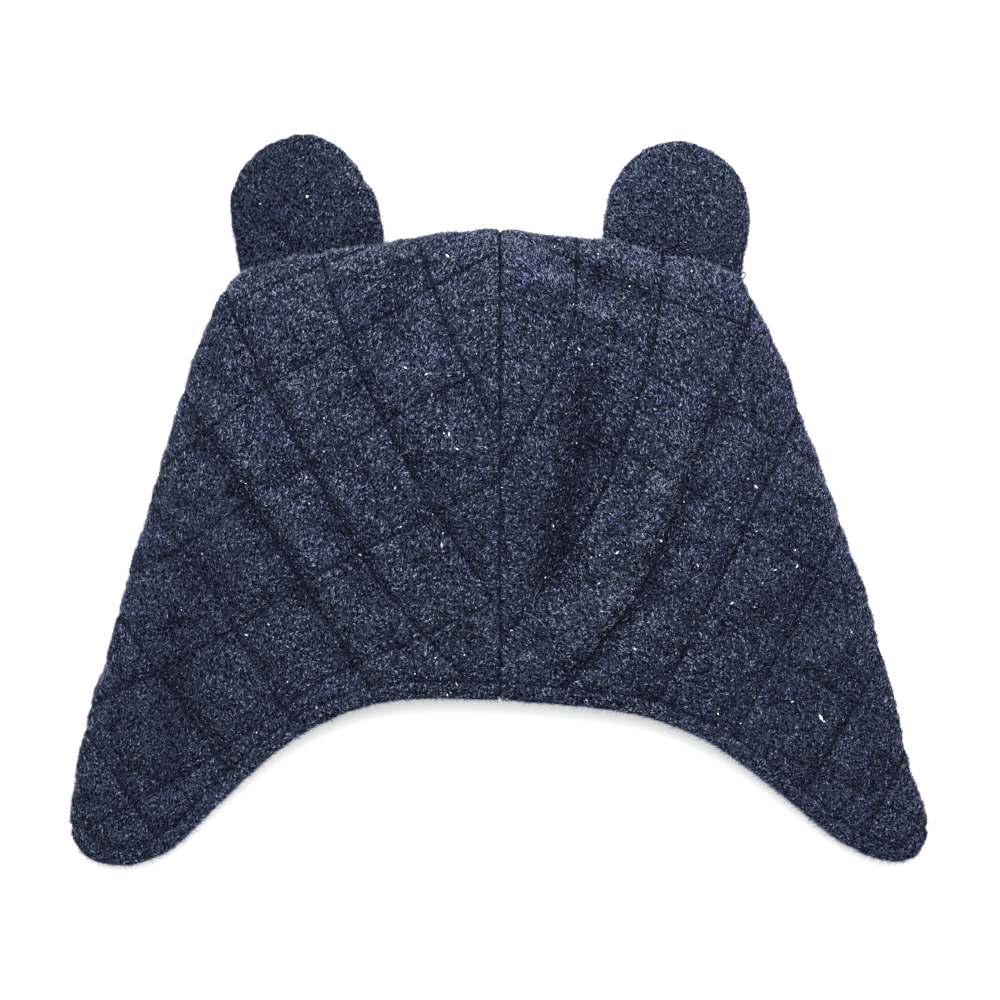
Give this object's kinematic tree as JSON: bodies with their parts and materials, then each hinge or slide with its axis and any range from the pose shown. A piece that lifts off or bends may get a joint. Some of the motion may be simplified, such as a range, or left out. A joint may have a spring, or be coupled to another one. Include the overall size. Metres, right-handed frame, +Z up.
{
  "type": "baby hat with ears",
  "caption": "Quilted fleece baby hat with two round padded ears and earflaps, lying flat, open along its hem for the head.",
  "frame": {"origin": "middle of the hat's plan, on the surface that it lies on", "axes": "+X across the hat towards the half with the dents, +Y towards the crown and ears, +Z up from the surface through the hat's thickness"},
  "size_m": [0.2584, 0.219, 0.0368],
  "materials": {
    "quilted_fleece": "navy short-pile fleece, diamond quilted",
    "ear_fleece": "navy short-pile fleece, padded"
  },
  "bodies": {
    "root": {"side_panel_left": "quilted_fleece", "side_panel_right": "quilted_fleece", "ear_left": "ear_fleece", "ear_right": "ear_fleece"}
  },
  "joints": []
}
